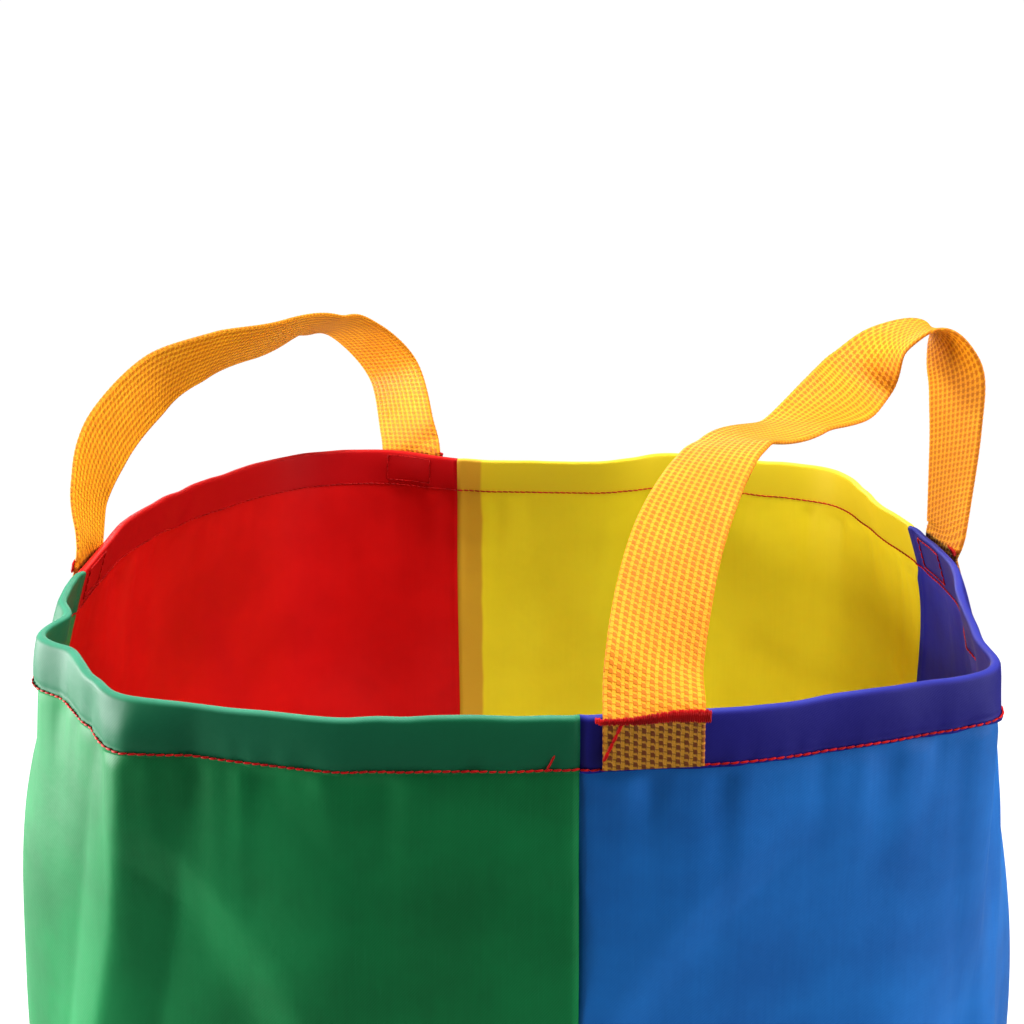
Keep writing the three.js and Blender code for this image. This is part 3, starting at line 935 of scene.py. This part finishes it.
def build_strap(handle):
    """One handle: a strap that runs up from its front sewn end, along its route and down to its rear one."""
    middle, width = strap_frames(handle)
    places = TABS[handle]
    start_middle, start_width = tab_frames(places["front"], True)
    end_middle, end_width = tab_frames(places["rear"], False)
    if start_width[-1] @ width[0] < 0:
        start_width = -start_width
    if end_width[0] @ width[-1] < 0:
        end_width = -end_width
    middle = np.concatenate([start_middle, middle[END_TRIM:-END_TRIM], end_middle])
    width = np.concatenate([start_width, width[END_TRIM:-END_TRIM], end_width])
    along = lengths_along(middle)
    wanted = np.linspace(0, along[-1], round(along[-1] / STRAP_STEP))
    middle = resample(middle, wanted, along)
    width = resample(width, wanted, along)
    kernel = np.hanning(EASE + 2)[1:-1]
    kernel /= kernel.sum()
    for values in (middle, width):
        for k in range(3):
            eased = np.convolve(np.pad(values[:, k], EASE // 2, mode="edge"), kernel, mode="valid")
            values[3:-3, k] = eased[3:-3]
    tangent = np.gradient(middle, axis=0)
    tangent /= np.linalg.norm(tangent, axis=1, keepdims=True)
    width -= (width * tangent).sum(1, keepdims=True) * tangent
    width /= np.linalg.norm(width, axis=1, keepdims=True)
    normal = np.cross(tangent, width)
    across = np.linspace(-0.5, 0.5, POINTS_PER_COLUMN * WEBBING_COLUMNS + 1)
    scallop = 0.12 * MM * np.sin(2 * math.pi * wanted / (FLOAT_PITCH * MM))
    reach = (WEBBING_WIDTH + scallop)[:, None] * across[None, :]
    ribs = 0.1 * MM * np.abs(np.sin(math.pi * WEBBING_COLUMNS * (across + 0.5)))[None, :]
    round_edge = 1 - np.clip((np.abs(across) - 0.47) / 0.03, 0, 1) ** 2 * 0.45
    half = (WEBBING_THICKNESS / 2 - 0.1 * MM) * round_edge[None, :] + ribs
    spine = middle[:, None] + width[:, None] * reach[..., None]
    front = spine + normal[:, None] * half[..., None]
    back = spine - normal[:, None] * half[..., None]
    s_grid, t_grid = np.meshgrid((across + 0.5) * WEBBING_WIDTH, wanted)
    uv = np.stack([s_grid, t_grid], -1)
    strap = thin_solid(handle + "_strap", front, back, uv)
    nodes = [handle + "_loop"] + [handle + "_" + end + "_tab" for end in places]
    finish_piece(strap, "webbing", nodes, body=None)
    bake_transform(strap)


# ---------------------------------------------------------------- stitching of the handle ends

ON_WEBBING = WEBBING_OFFSET + WEBBING_THICKNESS / 2 + 0.15 * MM
BAR_TACK_STITCHES = 124


def build_bar_tack(name, place, seed):
    """A thick row of close stitches across the webbing at the rim, growing thicker along its length."""
    rng = np.random.default_rng(seed)
    half = WEBBING_WIDTH / 2
    t = np.linspace(-1, 1, STITCH_POINTS)
    paths = []
    for k, across in enumerate(np.linspace(-half - 1.0 * MM, half + 0.2 * MM, BAR_TACK_STITCHES)):
        thick = 0.8 + 0.9 * smoothstep(-half, half, across) + 0.2 * rng.uniform(-1, 1)
        wave = 0.35 * math.sin(across / (4.1 * MM)) + 0.1 * rng.uniform(-1, 1)
        middle = TAB_HIGH + (0.2 + wave) * MM
        lean = 0.3 * MM * rng.uniform(0.2, 1) * (1 if k % 2 else -1)
        s = place + across + lean * t
        z = middle + thick * MM * t
        beyond = max(0, abs(across) - half) / MM
        offset = ON_WEBBING + (0.3 * (1 - t**2) - 0.9 * min(beyond, 1)) * MM
        paths.append(on_wall(s, z, offset))
    tack = threads(name + "_bar_tack_stitches", paths, 0.33 * MM, 5)
    finish_piece(tack, "thread", [name + "_bar_tack"])


def build_slanted(name, place):
    """The stitches that climb from the webbing's lower corner to the bar tack."""
    low_s = place - WEBBING_WIDTH / 2 + 0.8 * MM
    rise = TAB_HIGH - TAB_LOW - 4 * MM

    def point(t, lift):
        return on_wall(low_s + 4 * MM * t / rise, TAB_LOW + 3 * MM + t, ON_WEBBING + lift)

    paths = stitches(point, rise, gap=-0.5 * MM)
    row = threads(name + "_slanted_stitches", paths, 0.48 * MM)
    finish_piece(row, "thread", [name + "_slanted_stitch"])


def build_lining_stitch(name, place):
    """The four-sided row of stitches that shows on the lining behind a handle's end."""
    low, high = height_range(name + "_lining_stitch")
    wide = 19.5 * MM
    low += 0.25 * MM
    high -= 0.25 * MM
    inside = LINING_OFFSET - CLOTH / 2 - 0.2 * MM
    corners = [(-wide / 2, low), (wide / 2, low), (wide / 2, high), (-wide / 2, high), (-wide / 2, low)]
    paths = []
    for (s0, z0), (s1, z1) in zip(corners, corners[1:]):
        length = math.hypot(s1 - s0, z1 - z0)

        def point(t, lift):
            part = t / length
            return on_wall(place + s0 + (s1 - s0) * part, z0 + (z1 - z0) * part, inside - lift)

        paths += stitches(point, length)
    row = threads(name + "_lining_stitches", paths, 0.24 * MM)
    finish_piece(row, "thread", [name + "_lining_stitch"])


# ---------------------------------------------------------------- build everything

build_bottom("base_shell", BASE_RADIUS, 0, "shell_blue")
build_bottom("base_lining", BASE_RADIUS - 1 * MM, 0.9 * MM, "lining_blue")
for panel_index, panel_name in enumerate(PANELS):
    build_shell(panel_index, panel_name)
    build_lining(panel_index, panel_name)
hem_stitches("hem_thread_outside", HEM_OFFSET + CLOTH / 2 + 0.15 * MM, 1)
hem_stitches("hem_thread_inside", LINING_OFFSET - CLOTH / 2 - 0.1 * MM, -1)
for handle_name in HANDLES:
    build_strap(handle_name)
    for tab_index, (end_name, tab_place) in enumerate(TABS[handle_name].items()):
        end = handle_name + "_" + end_name
        build_bar_tack(end, tab_place, 10 * HANDLES.index(handle_name) + tab_index)
        build_slanted(end, tab_place)
        build_lining_stitch(end, tab_place)


# ---------------------------------------------------------------- stage, light and camera

def soft_light(name, place, target, width, height, power):
    """A rectangular light at a place, turned to a target."""
    data = bpy.data.lights.new(name, "AREA")
    data.shape = "RECTANGLE"
    data.size = width
    data.size_y = height
    data.energy = power
    light = bpy.data.objects.new(name, data)
    bpy.context.scene.collection.objects.link(light)
    light.location = place
    direction = np.array(target, float) - np.array(place, float)
    light.rotation_euler = Vector(direction).to_track_quat("-Z", "Y").to_euler()
    return light


def build_floor():
    """A round grey floor that looks white to the camera, but for the bag's shadow."""
    sides = 96
    radius = 1.6
    under = -0.0004
    turns = 2 * math.pi * np.arange(sides) / sides
    ring = [(radius * math.cos(a), radius * math.sin(a), under) for a in turns]
    floor = mesh_object("floor", ring, [tuple(range(sides))], smooth=False)
    material, tree, shader = node_material("floor")
    where = tree.nodes.new("ShaderNodeTexCoord")
    faint = noise(tree, where.outputs["Object"], 9.0, 3.0)
    base = mix_colour(tree, faint, linear((140, 140, 140)), linear((146, 146, 146)))
    tree.links.new(base, shader.inputs["Base Color"])
    shader.inputs["Roughness"].default_value = 0.9
    shader.inputs["Specular IOR Level"].default_value = 0.1
    from_bag = tree.nodes.new("ShaderNodeVectorMath")
    from_bag.operation = "LENGTH"
    tree.links.new(where.outputs["Object"], from_bag.inputs[0])
    shader.inputs["Emission Color"].default_value = (1, 1, 1, 1)
    rays = tree.nodes.new("ShaderNodeLightPath")
    fade = ramp(tree, from_bag.outputs["Value"], 0.15, 0.7)
    glow = math_node(tree, "MULTIPLY_ADD", fade, 0.5, 0.5)
    seen = math_node(tree, "MULTIPLY", glow, rays.outputs["Is Camera Ray"])
    tree.links.new(seen, shader.inputs["Emission Strength"])
    floor.data.materials.append(material)


def build_world():
    """White behind the bag, and a dimmer even light on it."""
    world = bpy.data.worlds.new("studio")
    bpy.context.scene.world = world
    world.use_nodes = True
    tree = world.node_tree
    background = tree.nodes["Background"]
    background.inputs["Color"].default_value = (1, 1, 1, 1)
    rays = tree.nodes.new("ShaderNodeLightPath")
    strength = math_node(tree, "MULTIPLY_ADD", rays.outputs["Is Camera Ray"], 0.9, 0.12)
    tree.links.new(strength, background.inputs["Strength"])


build_floor()
build_world()
soft_light("left_softbox", (-1.2, 0.1, 0.55), (0, 0, 0.45), 0.9, 0.5, 52)
soft_light("right_softbox", (1.13, -0.36, 0.75), (0, 0, 0.4), 0.9, 1.1, 17)
soft_light("top_softbox", (0.1, 0, 1.5), (0, 0.02, 0.5), 0.7, 0.26, 17)
soft_light("front_fill", (0.3, -1.6, 0.8), (0, 0, 0.45), 0.7, 0.9, 0.8)
soft_light("back_softbox", (-0.3, 1.6, 0.9), (0, 0, 0.4), 0.9, 0.9, 10)
inside_glow = soft_light("inside_glow", (0.02, -0.05, 0.34), (-0.01, 0.1, 0.5), 0.16, 0.1, 0.38)
inside_glow.visible_camera = False
inside_glow.visible_glossy = False

LENS = 49.22
SENSOR = 36
camera_data = bpy.data.cameras.new("camera")
camera_data.lens = LENS
camera_data.sensor_width = SENSOR
camera_data.clip_start = 0.01
camera = bpy.data.objects.new("camera", camera_data)
bpy.context.scene.collection.objects.link(camera)
camera.location = (-0.0034, -0.44655, RIM + 0.14247)
camera.rotation_euler = (math.radians(90 - 16.306), 0, 0)
bpy.context.scene.camera = camera
bpy.context.scene.view_settings.view_transform = "Standard"
